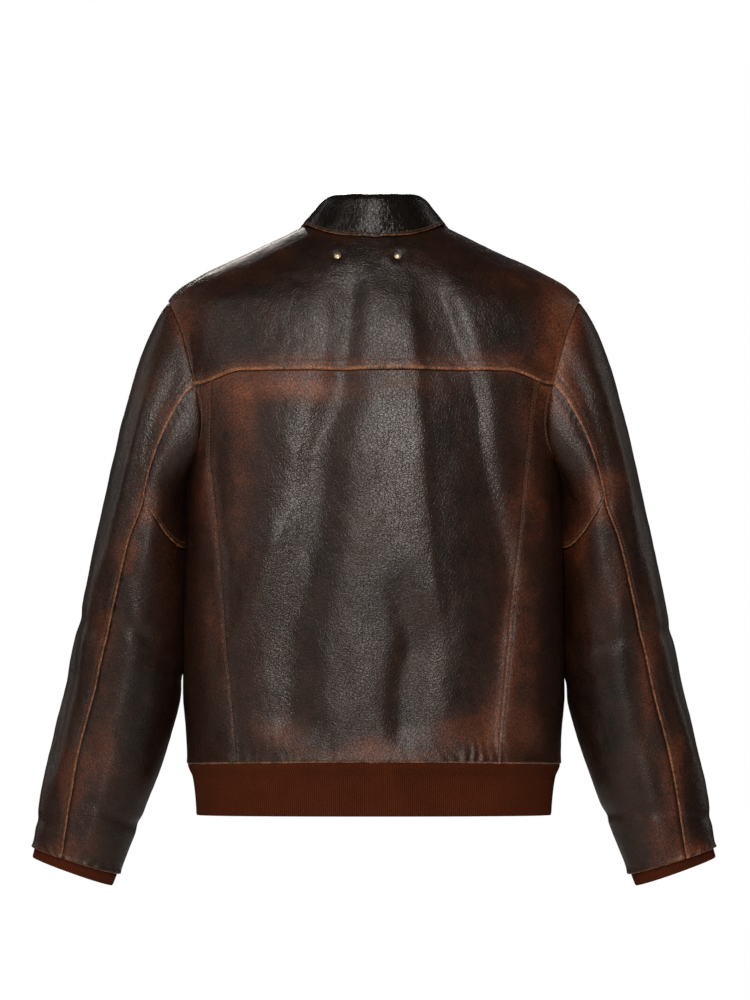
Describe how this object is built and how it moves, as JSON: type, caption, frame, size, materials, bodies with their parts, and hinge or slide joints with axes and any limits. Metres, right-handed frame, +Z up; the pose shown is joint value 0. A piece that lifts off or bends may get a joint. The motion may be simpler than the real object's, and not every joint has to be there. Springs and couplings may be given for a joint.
{
  "type": "worn leather jacket",
  "caption": "Worn leather blouson with folded shirt collar, yoked back, set-in sleeves, zip front and rib-knit hem and cuffs, filled out hollow as worn.",
  "frame": {"origin": "midway between the two points where the shoulder seams meet the collar, where the garment hangs on its wearer's shoulders", "axes": "+Z up, the front of the garment towards -Y, its back towards +Y, the wearer's left towards +X"},
  "size_m": [0.753, 0.26, 0.7607],
  "materials": {
    "jacket_leather": "dark brown, rubbed rust-brown along its seams and folds, semi-gloss",
    "collar_leather": "near black, crackled, glossy",
    "rib_knit": "faded red-brown wool rib, matt",
    "zip_tape": "dark woven tape, matt",
    "aged_brass": "aged, dull"
  },
  "bodies": {
    "jacket": {"back_yoke": "jacket_leather", "back_centre": "jacket_leather", "back_side_left": "jacket_leather", "back_side_right": "jacket_leather", "front_left": "jacket_leather", "front_right": "jacket_leather", "sleeve_top_left": "jacket_leather", "sleeve_top_right": "jacket_leather", "sleeve_under_upper_left": "jacket_leather", "sleeve_under_upper_right": "jacket_leather", "sleeve_under_lower_left": "jacket_leather", "sleeve_under_lower_right": "jacket_leather", "cuff_rib_left": "rib_knit", "cuff_rib_right": "rib_knit", "hem_rib": "rib_knit", "collar_stand": "collar_leather", "collar_leaf": "collar_leather", "zip_tape_left": "zip_tape", "zip_tape_right": "zip_tape", "zip_chain": "aged_brass", "zip_stop": "aged_brass", "zip_slider": "aged_brass", "stud_left": "aged_brass", "stud_right": "aged_brass"},
    "pull_tab": {"zip_pull": "aged_brass"}
  },
  "joints": [
    {"name": "pull_tab_swing", "type": "hinge", "parent": "jacket", "child": "pull_tab", "pos_m": [0, -0.09946, -0.08865], "axis": [-1, 0, 0], "range_deg": [0, 150]}
  ]
}
